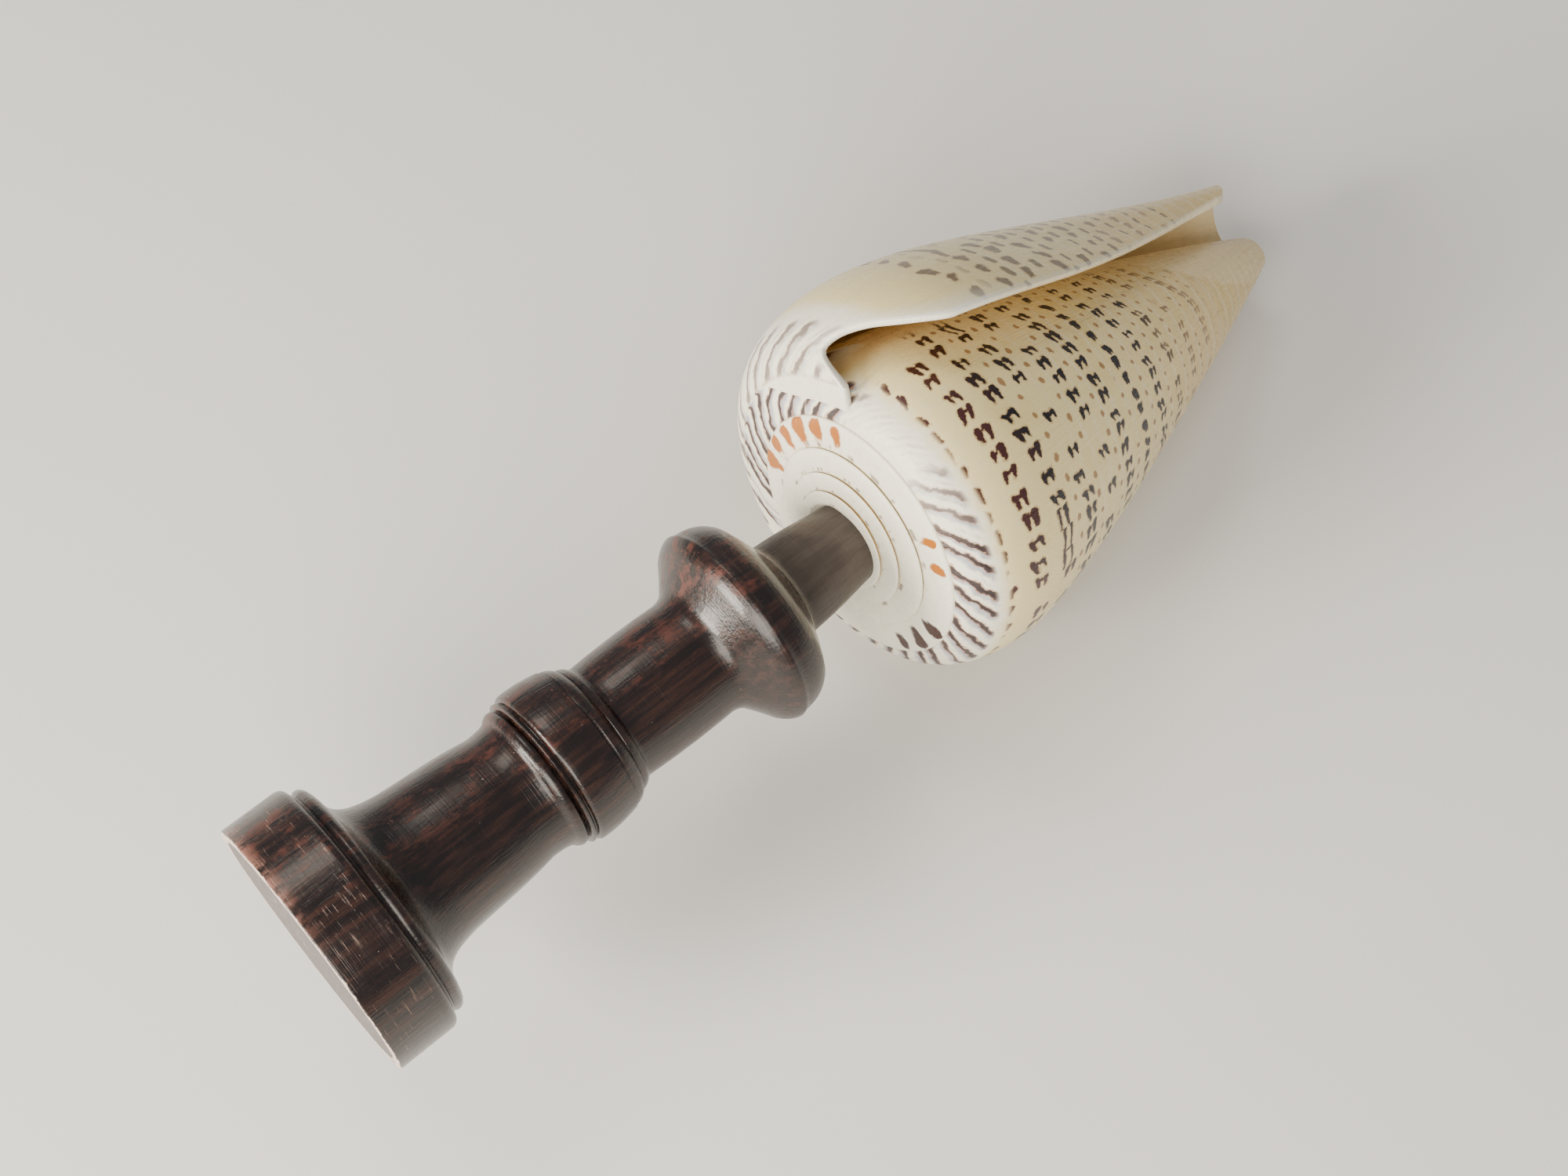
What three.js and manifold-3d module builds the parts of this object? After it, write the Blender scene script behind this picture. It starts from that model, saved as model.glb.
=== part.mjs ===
// A large cone shell held spire first on the peg of a turned hardwood stand.
// The whole thing lies on its side. The shell is far heavier than the stand, so it lies on the shell
// and the stand's foot is held just clear of the ground.
// Millimetres, +Z up, +X from the foot of the stand towards the tip of the shell.

import * as THREE from 'three';
import Module from 'manifold-3d';
import { mergeVertices } from 'three/addons/utils/BufferGeometryUtils.js';
import { ConvexHull } from 'three/addons/math/ConvexHull.js';

// Stand: lengths are measured along its axis from the underside of the foot.
const FOOT_RADIUS = 22.5;
const FOOT_EDGE = 0.5;
const FOOT_THICKNESS = 10.4;
const FOOT_ROUNDING = 1.4;
const FOOT_GROOVE_RADIUS = 20.5;
const BEAD_RADIUS = 20.4;
const BEAD_END = 13.8;
const STEM_START_RADIUS = 16.6;
const WAIST_RADIUS = 11.4;
const RING_RADIUS = 12.7;
const BARREL_START = 45.3;
const BARREL_RADIUS = 13.8;
const BARREL_END = 57.2;
const COLUMN_RADIUS = 10.7;
const COLLAR_START = 76.4;
const COLLAR_RIDGE = 83.9;
const COLLAR_RADIUS = 18.1;
const COLLAR_END = 92.8;
const PEG_FOOT_RADIUS = 8.5;
const PEG_FOOT = 94.6;
const PEG_MOUTH_RADIUS = 7;
const PEG_MOUTH = 108.4;
const PEG_END_RADIUS = 5.6;
const PEG_END = 120;
const STAND_SIDES = 32;
const OUTLINE_STEPS = 2;

// Shell: lengths are measured along its own axis from the point of the spire.
// "Back" is the angle in degrees behind the lip, against the growth, so a turn back is one whorl in.
const LIP_RADIUS = 38;
const WHORL_RATIO = 1.345;
const SEAM_SHARE = 0.758;
const SPIRE_SLOPE = 0.446;
const SPIRE_DOME = 0.00744;
const SHOULDER_ALONG = 0.459;
const SHOULDER_ROUND = 0.211;
const FACE_LIFT = 0.03;
const FACE_REACH = 0.938;
const LIP_SIDE_FLANK = { shoulder: 18.8, along: 29.2, rise: 6.6 };
const FAR_SIDE_FLANK = { shoulder: 15.3, along: 26.6, rise: 10.2 };
const LIP_SIDE_BACK = 42;
const FAR_SIDE_BACK = 222;
// Radius and place of the narrow end, at angles back from the lip.
const END_RADIUS = [[-80, 14.3], [0, 14.3], [42, 13.4], [76, 9.8], [104, 7.2], [150, 5], [222, 4.2], [360, 3]];
const END_ALONG = [[-80, 98], [-6, 102], [10, 107], [42, 111], [90, 111], [222, 110.5], [360, 109.5]];
// The lip's edge: share of the way along the outline (0 seam, 1 shoulder, 2 narrow end) and its angle.
const LIP_LINE = [[0, -9], [0.15, 0], [0.25, 3], [0.4, 0.4], [0.55, -5], [0.75, -13.7],
  [1, -20.5], [1.35, -23.3], [1.6, -20.3], [1.8, -12], [2, 3]];
const WALL = 1.9;
// The spiral space inside starts in front of the lip and ends this far back.
const SPACE_START = -75;
const SPACE_END = 500;
const SPACE_STEPS = { face: 4, flank: 5 };
const SPACE_DEGREES_PER_STEP = 20;
const SPACE_OVERLAP = 2;
// The shell is joined from stretches of whorl that overlap, the last one reaching the top of the spire.
const OUTER_STRETCH_END = 188;
const MIDDLE_STRETCH_END = 525;
const CORE_END = 868;
const SPIRE_STRETCH = 340;
const STRETCH_OVERLAP = 10;
const SPIRE_END = 1760;
// Stretches of the axis that the solid whorls reach in to.
const BODY_CORE = [9, 95];
const SPIRE_CORE = [9, 30];
const FACE_STEPS = 7;
const FLANK_STEPS = 8;
const CORE_FLANK_STEPS = 4;
const DEGREES_PER_STEP = 10;

// How the shell sits on the peg, in the stand's frame, and which way is up.
const SHELL_AT = new THREE.Vector3(104.8, 1.6, 0.1);
const SHELL_DROOP = 8.8;
const SHELL_YAW = -2.1;
const LIP_TURN = 42;
const UP_TURN = 66.3;
const HOLE_GAP = 0.3;
const HOLE_DEPTH = 121.5;

const WOOD_DENSITY = 0.6;
const SHELL_DENSITY = 2.3;
const degrees = THREE.MathUtils.degToRad;

const wasm = await Module();
wasm.setup();

const material = {
  shell: new THREE.MeshStandardMaterial({ color: 0xe9dfc6, roughness: 0.3, metalness: 0 }),
  wood: new THREE.MeshStandardMaterial({ color: 0x2b1712, roughness: 0.3, metalness: 0 }),
};

// Smooth value between stations [position, value], with the slopes of a Catmull-Rom curve.
function between(stations, position) {
  const last = stations.length - 1;
  if (position <= stations[0][0]) return stations[0][1];
  if (position >= stations[last][0]) return stations[last][1];
  let k = 0;
  while (stations[k + 1][0] < position) k += 1;
  const slope = (i) => {
    const before = stations[Math.max(i - 1, 0)];
    const after = stations[Math.min(i + 1, last)];
    return (after[1] - before[1]) / (after[0] - before[0]);
  };
  const [x0, y0] = stations[k];
  const [x1, y1] = stations[k + 1];
  const step = x1 - x0;
  const t = (position - x0) / step;
  const start = (1 + 2 * t) * (1 - t) ** 2 * y0 + t * (1 - t) ** 2 * step * slope(k);
  const end = t * t * (3 - 2 * t) * y1 + t * t * (t - 1) * step * slope(k + 1);
  return start + end;
}

// Closed solids and back.

function solidOf(geometry) {
  const bare = geometry.clone();
  bare.deleteAttribute('normal');
  bare.deleteAttribute('uv');
  const merged = mergeVertices(bare);
  const mesh = new wasm.Mesh({
    numProp: 3,
    vertProperties: new Float32Array(merged.attributes.position.array),
    triVerts: new Uint32Array(merged.index.array),
  });
  return new wasm.Manifold(mesh);
}

function geometryOf(solid) {
  const mesh = solid.getMesh();
  const geometry = new THREE.BufferGeometry();
  geometry.setAttribute('position', new THREE.BufferAttribute(new Float32Array(mesh.vertProperties), 3));
  geometry.setIndex(new THREE.BufferAttribute(new Uint32Array(mesh.triVerts), 1));
  geometry.computeVertexNormals();
  return geometry;
}

// Stand, turned in one piece with its peg.

function standOutline() {
  const path = new THREE.Path();
  path.moveTo(0, 0);
  path.lineTo(0, FOOT_RADIUS - FOOT_EDGE);
  path.lineTo(FOOT_EDGE, FOOT_RADIUS);
  path.lineTo(FOOT_THICKNESS - FOOT_ROUNDING, FOOT_RADIUS);
  path.quadraticCurveTo(FOOT_THICKNESS + 0.4, FOOT_RADIUS, FOOT_THICKNESS + 0.9, FOOT_GROOVE_RADIUS);
  path.lineTo(FOOT_THICKNESS + 1.4, FOOT_GROOVE_RADIUS - 0.2);
  path.quadraticCurveTo(BEAD_END - 0.2, BEAD_RADIUS + 0.5, BEAD_END, BEAD_RADIUS - 2.3);
  path.lineTo(BEAD_END + 0.3, STEM_START_RADIUS);
  path.quadraticCurveTo(BEAD_END + 1.6, 13.4, 21.8, 12.9);
  path.bezierCurveTo(27.5, 12.4, 31.5, 12.4, 37.7, WAIST_RADIUS);
  path.quadraticCurveTo(41.2, WAIST_RADIUS + 0.1, 42.1, 12.2);
  path.quadraticCurveTo(42.9, RING_RADIUS + 0.6, 43.7, RING_RADIUS - 0.4);
  path.lineTo(44, RING_RADIUS - 0.4);
  path.lineTo(44.4, RING_RADIUS + 0.7);
  path.lineTo(44.9, RING_RADIUS + 0.6);
  path.lineTo(BARREL_START, BARREL_RADIUS - 0.2);
  path.quadraticCurveTo(48.8, BARREL_RADIUS + 0.3, 53, BARREL_RADIUS - 0.7);
  path.quadraticCurveTo(56.4, 12, BARREL_END, COLUMN_RADIUS + 0.2);
  path.bezierCurveTo(60, COLUMN_RADIUS - 0.3, 71.2, COLUMN_RADIUS + 0.4, 74.7, COLUMN_RADIUS);
  path.quadraticCurveTo(COLLAR_START, COLUMN_RADIUS, 77.9, 12.5);
  path.quadraticCurveTo(79.5, 16.9, 82.3, COLLAR_RADIUS - 0.2);
  path.lineTo(COLLAR_RIDGE, COLLAR_RADIUS);
  path.lineTo(COLLAR_RIDGE + 0.7, COLLAR_RADIUS - 0.3);
  path.quadraticCurveTo(88.3, COLLAR_RADIUS - 0.4, 90, COLLAR_RADIUS - 2.8);
  path.quadraticCurveTo(91.6, 12.6, COLLAR_END, 9.6);
  path.quadraticCurveTo(COLLAR_END + 0.5, PEG_FOOT_RADIUS + 0.2, PEG_FOOT, PEG_FOOT_RADIUS);
  path.lineTo(PEG_MOUTH, PEG_MOUTH_RADIUS);
  path.lineTo(PEG_END, PEG_END_RADIUS);
  path.lineTo(PEG_END, 0);
  return path.getPoints(OUTLINE_STEPS).map((point) => new THREE.Vector2(point.y, point.x));
}

// A turned solid along +X. Its flats face straight down when the object lies at rest.
function turned(outline, sides) {
  const geometry = new THREE.LatheGeometry(outline, sides);
  geometry.rotateZ(-Math.PI / 2);
  geometry.rotateX(degrees(UP_TURN - 90 + 180 / sides));
  return geometry;
}

function standGeometry() {
  return geometryOf(solidOf(turned(standOutline(), STAND_SIDES)));
}

function holeGeometry() {
  const gap = HOLE_GAP;
  const start = PEG_FOOT;
  const outline = [
    new THREE.Vector2(0, start),
    new THREE.Vector2(PEG_FOOT_RADIUS + gap, start),
    new THREE.Vector2(PEG_MOUTH_RADIUS + gap, PEG_MOUTH),
    new THREE.Vector2(PEG_END_RADIUS + gap, HOLE_DEPTH),
    new THREE.Vector2(0, HOLE_DEPTH),
  ];
  return turned(outline, STAND_SIDES);
}

// Shell.

// Outline of the whorl in the half plane at an angle back from the lip: seam, face, shoulder, flank.
function outlineAt(back, steps = { face: FACE_STEPS, flank: FLANK_STEPS }) {
  const size = LIP_RADIUS * WHORL_RATIO ** (-back / 360);
  const seam = SEAM_SHARE * size;
  const seamAlong = SPIRE_SLOPE * seam - SPIRE_DOME * seam * seam;
  const at = (along, radius) => new THREE.Vector2(seamAlong + along * size, radius * size);
  const crest = at(SHOULDER_ALONG, 1);
  const face = new THREE.CubicBezierCurve(
    at(0, SEAM_SHARE),
    at(FACE_LIFT, FACE_REACH),
    at(SHOULDER_ALONG - SHOULDER_ROUND, 1),
    crest,
  );
  const far = THREE.MathUtils.clamp((back - LIP_SIDE_BACK) / (FAR_SIDE_BACK - LIP_SIDE_BACK), 0, 1);
  const mix = (key) => THREE.MathUtils.lerp(LIP_SIDE_FLANK[key], FAR_SIDE_FLANK[key], far);
  const end = new THREE.Vector2(between(END_ALONG, back), between(END_RADIUS, back));
  const flank = new THREE.CubicBezierCurve(
    crest,
    new THREE.Vector2(crest.x + mix('shoulder'), crest.y),
    new THREE.Vector2(end.x - mix('along'), end.y + mix('rise')),
    end,
  );
  return face.getPoints(steps.face).concat(flank.getPoints(steps.flank).slice(1));
}

// Turns a point of an outline to its place round the shell's axis, which is +X.
function placed(point, back) {
  const turn = degrees(LIP_TURN - back);
  return new THREE.Vector3(point.x, point.y * Math.cos(turn), point.y * Math.sin(turn));
}

// Closed solid between an outer and an inner grid of points, columns going back and rows going to the tip.
function sector(outer, inner) {
  const corners = [];
  const triangle = (a, b, c) => {
    const flat = a.distanceTo(b) < 1e-6 || b.distanceTo(c) < 1e-6 || c.distanceTo(a) < 1e-6;
    if (!flat) corners.push(...a.toArray(), ...b.toArray(), ...c.toArray());
  };
  const quad = (a, b, c, d) => {
    triangle(a, b, c);
    triangle(a, c, d);
  };
  const columns = outer.length - 1;
  const rows = outer[0].length - 1;
  for (let i = 0; i < columns; i += 1) {
    const [a, b, p, q] = [outer[i], outer[i + 1], inner[i], inner[i + 1]];
    for (let j = 0; j < rows; j += 1) {
      quad(a[j], a[j + 1], b[j + 1], b[j]);
      quad(p[j], q[j], q[j + 1], p[j + 1]);
    }
    quad(p[0], a[0], b[0], q[0]);
    quad(p[rows], q[rows], b[rows], a[rows]);
  }
  for (let j = 0; j < rows; j += 1) {
    quad(inner[0][j], inner[0][j + 1], outer[0][j + 1], outer[0][j]);
    quad(inner[columns][j], outer[columns][j], outer[columns][j + 1], inner[columns][j + 1]);
  }
  const geometry = new THREE.BufferGeometry();
  geometry.setAttribute('position', new THREE.Float32BufferAttribute(corners, 3));
  return solidOf(geometry);
}

// A stretch of whorl as a solid reaching in to the axis. "startOf" gives each row's first angle.
function whorl(startOf, end, rowsOf, core) {
  const count = rowsOf(end).length - 1;
  const columns = Math.round((end - startOf(1)) / DEGREES_PER_STEP);
  const outer = [];
  const inner = [];
  for (let i = 0; i <= columns; i += 1) {
    outer.push([]);
    inner.push([]);
    for (let j = 0; j <= count; j += 1) {
      const share = j <= FACE_STEPS ? j / FACE_STEPS : 1 + (j - FACE_STEPS) / FLANK_STEPS;
      const back = THREE.MathUtils.lerp(startOf(share), end, i / columns);
      outer[i].push(placed(rowsOf(back)[j], back));
      inner[i].push(new THREE.Vector3(THREE.MathUtils.lerp(...core, j / count), 0, 0));
    }
  }
  return sector(outer, inner);
}

// A stretch of the space between the outer wall and the whorl within, open at the narrow end.
function space(start, end) {
  const outer = [];
  const inner = [];
  const columns = Math.ceil((end - start) / SPACE_DEGREES_PER_STEP);
  const fine = { face: 4 * FACE_STEPS, flank: 4 * FLANK_STEPS };
  for (let i = 0; i <= columns; i += 1) {
    const back = THREE.MathUtils.lerp(start, end, i / columns);
    const outline = outlineAt(back, SPACE_STEPS);
    const within = outlineAt(back + 360, fine);
    outer.push([]);
    inner.push([]);
    for (let j = 1; j < outline.length; j += 1) {
      const before = outline[j - 1];
      const after = outline[Math.min(j + 1, outline.length - 1)];
      const tangent = new THREE.Vector2().subVectors(after, before).normalize();
      const point = new THREE.Vector2(
        outline[j].x + tangent.y * WALL,
        Math.max(outline[j].y - tangent.x * WALL, 2.4),
      );
      if (j === outline.length - 1) point.x += 8;
      const next = within.findIndex((candidate) => candidate.x > point.x);
      const level = next > 0 ? within[next].y : within[within.length - 1].y;
      outer[i].push(placed(point, back));
      inner[i].push(placed(new THREE.Vector2(point.x, Math.min(level - 1.5, point.y - 0.4)), back));
    }
  }
  return sector(outer, inner);
}

function shellSolid() {
  const whole = (back) => outlineAt(back);
  const coarse = (back) => outlineAt(back, { face: FACE_STEPS, flank: CORE_FLANK_STEPS });
  const top = (back) => outlineAt(back).slice(0, FACE_STEPS + 1);
  const lip = (share) => between(LIP_LINE, share);
  const from = (angle) => () => angle - STRETCH_OVERLAP;
  const behindOuter = space(SPACE_START, OUTER_STRETCH_END + SPACE_OVERLAP);
  const behindMiddle = space(OUTER_STRETCH_END - STRETCH_OVERLAP - SPACE_OVERLAP, SPACE_END);
  let solid = whorl(lip, OUTER_STRETCH_END, whole, BODY_CORE).subtract(behindOuter);
  solid = solid.add(whorl(from(OUTER_STRETCH_END), MIDDLE_STRETCH_END, whole, BODY_CORE));
  solid = solid.subtract(behindMiddle);
  solid = solid.add(whorl(from(MIDDLE_STRETCH_END), CORE_END, coarse, BODY_CORE));
  for (let start = CORE_END; start < SPIRE_END; start += SPIRE_STRETCH - STRETCH_OVERLAP) {
    const end = Math.min(start + SPIRE_STRETCH, SPIRE_END);
    solid = solid.add(whorl(from(start), end, top, SPIRE_CORE));
  }
  return solid;
}

// From the shell's frame to the stand's.
function shellPlacement() {
  const droop = new THREE.Matrix4().makeRotationY(degrees(SHELL_DROOP));
  const yaw = new THREE.Matrix4().makeRotationZ(degrees(SHELL_YAW));
  const move = new THREE.Matrix4().makeTranslation(SHELL_AT.x, SHELL_AT.y, SHELL_AT.z);
  return move.multiply(yaw).multiply(droop);
}

function shellGeometry() {
  const body = geometryOf(shellSolid()).applyMatrix4(shellPlacement());
  return geometryOf(solidOf(body).subtract(solidOf(holeGeometry())));
}

// Rest: the flat of the outer hull that is nearest to straight down and has the weight over it.

function weightOf(geometry, density) {
  const { position } = geometry.attributes;
  const index = geometry.index.array;
  const centre = new THREE.Vector3();
  let volume = 0;
  for (let k = 0; k < index.length; k += 3) {
    const [a, b, c] = [0, 1, 2].map((n) => new THREE.Vector3().fromBufferAttribute(position, index[k + n]));
    const part = a.dot(b.clone().cross(c)) / 6;
    volume += part;
    centre.addScaledVector(a.add(b).add(c), part / 4);
  }
  return { mass: volume * density, moment: centre.multiplyScalar(density) };
}

function restingFace(geometries, centre, down) {
  const points = [];
  for (const geometry of geometries) {
    const { position } = geometry.attributes;
    for (let k = 0; k < position.count; k += 1) {
      points.push(new THREE.Vector3().fromBufferAttribute(position, k));
    }
  }
  const hull = new ConvexHull().setFromPoints(points);
  let best = null;
  for (const face of hull.faces) {
    const corners = [];
    let edge = face.edge;
    do {
      corners.push(edge.head().point);
      edge = edge.next;
    } while (edge !== face.edge);
    const over = corners.every((corner, k) => {
      const side = corners[(k + 1) % corners.length].clone().sub(corner);
      return side.cross(centre.clone().sub(corner)).dot(face.normal) > 0;
    });
    if (over && (!best || face.normal.dot(down) > best.dot(down))) best = face.normal.clone();
  }
  return best;
}

function restPlacement(shell, stand) {
  const parts = [weightOf(shell, SHELL_DENSITY), weightOf(stand, WOOD_DENSITY)];
  const mass = parts[0].mass + parts[1].mass;
  const centre = parts[0].moment.clone().add(parts[1].moment).divideScalar(mass);
  const down = new THREE.Vector3(0, -Math.cos(degrees(UP_TURN)), -Math.sin(degrees(UP_TURN)));
  const up = restingFace([shell, stand], centre, down).negate();
  const along = new THREE.Vector3(1, 0, 0).projectOnPlane(up).normalize();
  const across = new THREE.Vector3().crossVectors(up, along);
  const turn = new THREE.Matrix4().makeBasis(along, across, up).invert();
  const box = new THREE.Box3();
  for (const geometry of [shell, stand]) {
    box.union(new THREE.Box3().setFromBufferAttribute(geometry.clone().applyMatrix4(turn).attributes.position));
  }
  const middle = box.getCenter(new THREE.Vector3());
  return new THREE.Matrix4().makeTranslation(-middle.x, -middle.y, -box.min.z).multiply(turn);
}

const shell = new THREE.Mesh(shellGeometry(), material.shell);
shell.name = 'shell';
const stand = new THREE.Mesh(standGeometry(), material.wood);
stand.name = 'stand';

const object = new THREE.Group();
object.name = 'cone_shell_on_stand';
object.add(shell, stand);
restPlacement(shell.geometry, stand.geometry).decompose(object.position, object.quaternion, object.scale);
object.updateMatrixWorld(true);

export default object;
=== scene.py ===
"""A large cone shell on the peg of a turned hardwood stand, lying on its side on a pale floor.

The stand is turned from an outline and the shell is grown as one spiral sheet, both in the frame of the
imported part. "Back" is the angle in degrees behind the lip of the shell, against its growth.
Lengths in the outlines are millimetres; what is built is in metres.
"""

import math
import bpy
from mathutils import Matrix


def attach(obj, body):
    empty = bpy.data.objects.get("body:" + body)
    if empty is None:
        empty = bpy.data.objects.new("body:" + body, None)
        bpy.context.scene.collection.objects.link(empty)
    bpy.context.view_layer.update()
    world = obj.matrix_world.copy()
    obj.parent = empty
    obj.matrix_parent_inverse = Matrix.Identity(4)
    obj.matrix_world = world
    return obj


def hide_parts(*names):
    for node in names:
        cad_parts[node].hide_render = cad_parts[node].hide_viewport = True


bl_info = {
    "name": "Cone shell on a turned stand",
    "version": (1, 0, 0),
    "blender": (4, 5, 0),
    "location": "View3D > Sidebar > Shell",
    "description": "Builds a spotted cone shell held on a turned hardwood stand",
    "category": "Add Mesh",
}

import bpy
import numpy as np
from bpy.props import FloatProperty, FloatVectorProperty, IntProperty, PointerProperty
from mathutils import Matrix, Vector

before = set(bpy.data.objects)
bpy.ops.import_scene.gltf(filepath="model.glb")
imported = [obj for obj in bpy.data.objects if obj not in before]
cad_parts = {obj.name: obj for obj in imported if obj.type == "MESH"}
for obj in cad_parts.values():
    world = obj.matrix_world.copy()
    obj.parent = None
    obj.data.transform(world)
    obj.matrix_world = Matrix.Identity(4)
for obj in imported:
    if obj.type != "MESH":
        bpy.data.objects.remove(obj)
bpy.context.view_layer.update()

MM = 0.001

# Which way is up for the stand's frame at rest: tilt of its axis, and turn about the axis.
REST_TILT = -4.933
REST_TURN = 66.507

# Shell, in millimetres along its own axis from the point of the spire.
WHORL_RATIO = 1.345
SEAM_SHARE = 0.758
SPIRE_SLOPE = 0.446
SPIRE_DOME = 0.00744
SHOULDER_ALONG = 0.459
SHOULDER_ROUND = 0.211
FACE_LIFT = 0.03
FACE_REACH = 0.938
LIP_SIDE_FLANK = {"shoulder": 18.8, "along": 29.2, "rise": 6.6}
FAR_SIDE_FLANK = {"shoulder": 15.3, "along": 26.6, "rise": 10.2}
LIP_SIDE_BACK = 42
FAR_SIDE_BACK = 222
END_RADIUS = [(-80, 14.3), (0, 14.3), (42, 13.4), (76, 9.8), (104, 7.2), (150, 5), (222, 4.2), (360, 3)]
END_ALONG = [(-80, 98), (-6, 102), (10, 107), (42, 111), (90, 111), (222, 110.5), (360, 109.5)]
LIP_LINE = [(0, -9), (0.15, 0), (0.25, 3), (0.4, 0.4), (0.55, -5), (0.75, -13.7), (1, -20.5),
            (1.35, -23.3), (1.6, -20.3), (1.8, -12), (2, 3)]
# Inner whorls have a sharper shoulder, hidden under the next whorl.
INNER_SHOULDER = {"along": 0.04, "round": 0.035, "lift": 0.0, "reach": 0.95, "radius": 1.03}
INNER_FROM = 366
INNER_FULL = 400
SKIRT_TARGET = (9, 0)
SKIRT_DEPTH = 0.3
BODY_END = 560
SPIRE_START = 540
SPIRE_END = 2100

# How the shell sits on the peg, in the stand's frame.
SHELL_AT = Vector((104.8, 1.6, 0.1))
SHELL_DROOP = 8.8
SHELL_YAW = -2.1
LIP_TURN = 42

# Steps of the shell's sheet: rows on the face and the flank, columns in degrees back from the lip.
FACE_ROWS = 24
FLANK_ROWS = 64
SKIRT_SHARES = [-1, -0.5]
LIP_COLUMNS = [0, 0.25, 0.5, 0.9, 1.4, 2.2, 3.2, 4.5]
FINE_COLUMNS = np.arange(6, 372, 2)
HIDDEN_COLUMNS = np.arange(372, BODY_END + 1, 4)
SPIRE_COLUMNS = np.arange(SPIRE_START, SPIRE_END + 1, 4.0)
SPIRE_ROWS = 10
SPIRE_WALL = 1.0
GIRTH_AT_LIP = 30
SHARE_STEP = 0.01
LEAST_RADIUS = 0.4
TINY = 1e-12

# Edge of the lip: how far in from it the wall thins, and what each surface gives up there.
CURL_REACH = 1.6
CURL_OUTER = 0.3
EDGE_WALL = 1

# Pattern of the shell. Places along a row are degrees back from the lip, places across it millimetres
# from the crest of the shoulder. Pairs are the two ends of a soft edge.
WHITE_SPIRE = (362, 372)
WHITE_FACE = (-6.5, -10.5)
BAND_STEP = 3.4
ROW_STEP = 7.1
ROW_SHIFT = 0.13
MARK_PITCH = 7.7
SINGLE_ROW = 5
NO_SHOULDER_MARKS = (343, 349)
ROWS_START = (-8.4, -7)
ROWS_END = (72, 58)
YOUNG_PART = (90, 40)
GLAZE_START = (354, 363)
GLAZE_EDGE = (-9, -1)
PAINT_END = (380, 366)
STREAK_PITCH = 9.6
STREAKS_END = (352, 346)
PLAIN_PART = (312, 345)
OLDER_STREAKS = (374, 470)
TURN_STREAKS = (350, 376)
SPOT_PITCH = 14
SPOT_SHIFT = 6
BROWN_SPOTS = (556, 598)
ORANGE_SPOTS = (624, 652)
INNER_ORANGE_SPOTS = (706, 792)
DASHES_START = (600, 640)
STREAK_SWING = 14
ONE_DEGREE = math.radians(1)

# Fixed colours of the shell's small features.
GROWTH_COLOUR = (0.5, 0.4, 0.22)
BAND_COLOUR = (0.9, 0.83, 0.6)
DULL_COLOUR = (0.72, 0.68, 0.5)
BROWN_SPOT_COLOUR = (0.04, 0.009, 0.004)
DASH_COLOUR = (0.2, 0.15, 0.11)
SEAM_COLOUR = (0.42, 0.34, 0.22)

# Zones of the stand along its axis, and fixed colours of its wear and of painted light: the rubbing and nick
# colours are painted only on the lit side, and the peg shadow colour is painted shade.
SCRATCHES_END = (12, 9)
RUBBED_AND_LIT_EDGE = (4.6, 1.8)
UNDERSIDE_EDGE = (0.72, 0.6)
RIM_START = (20.9, 21.3)
PEG_START = (93.2, 94)
PEG_SHADOW = (98.5, 94)
PORE_COLOUR = (0.005, 0.003, 0.003)
SCRATCH_COLOUR = (0.34, 0.19, 0.13)
RUBBED_AND_LIT_COLOUR = (0.42, 0.2, 0.15)
NICK_AND_LIT_COLOUR = (0.3, 0.12, 0.07)
SPECK_COLOUR = (0.45, 0.37, 0.3)
PEG_RING_COLOUR = (0.024, 0.016, 0.012)
PEG_GRAIN_COLOUR = (0.028, 0.018, 0.014)
PEG_SHADOW_COLOUR = (0.016, 0.011, 0.008)

# Largest angle between faces that is shaded smooth, in degrees.
STAND_SMOOTH = 30
SHELL_SMOOTH = 60

# Camera, in the stand's frame.
CAMERA_AT = Vector((-14.61, 0, 339.67))
CAMERA_RIGHT = Vector((0.75695, -0.60656, 0.24314))
CAMERA_DOWN = Vector((-0.57732, -0.79504, -0.18603))
CAMERA_FORWARD = Vector((0.30614, 0.00044, -0.95199))
SENSOR_WIDTH = 36
CLIP_START = 0.01

# Lights: name, place in metres to the right, down the picture and up, size, and the setting of its power.
LIGHTS = [
    ("key light", (-0.75, 0.5, 0.55), 0.45, "key_power"),
    ("fill light", (-0.1, 0.75, 0.8), 0.5, "fill_power"),
    ("back light", (-0.35, -0.6, 0.8), 0.4, "back_power"),
]
LIGHT_COLOUR = (1, 0.93, 0.82)
LIT_CENTRE = Vector((0, 0, 0.035))
SKY_COLOUR = (0.95, 0.96, 1, 1)
SKY_STRENGTH = 0.35
FLOOR_SIZE = 6


# Placement

def stand_matrix():
    """From the stand's frame in metres to the world: the resting tilt, then the place of the foot."""
    tilt = math.radians(REST_TILT)
    turn = math.radians(REST_TURN)
    up = Vector((math.sin(tilt), math.cos(tilt) * math.cos(turn), math.cos(tilt) * math.sin(turn)))
    along = (Vector((1, 0, 0)) - up * up.x).normalized()
    across = up.cross(along)
    rest = Matrix((along, across, up))
    axis = rest @ Vector((1, 0, 0))
    points = np.array([vertex.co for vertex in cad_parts["stand"].data.vertices])
    height = points @ np.array(axis)
    foot = points[height < height.min() + 0.01 * MM]
    return Matrix.Translation(Vector(foot.mean(axis=0))) @ rest.to_4x4()


def shell_matrix():
    """From the shell's frame in metres to the world."""
    droop = Matrix.Rotation(math.radians(SHELL_DROOP), 4, "Y")
    yaw = Matrix.Rotation(math.radians(SHELL_YAW), 4, "Z")
    return stand_matrix() @ Matrix.Translation(SHELL_AT * MM) @ yaw @ droop


# Curves

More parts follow.
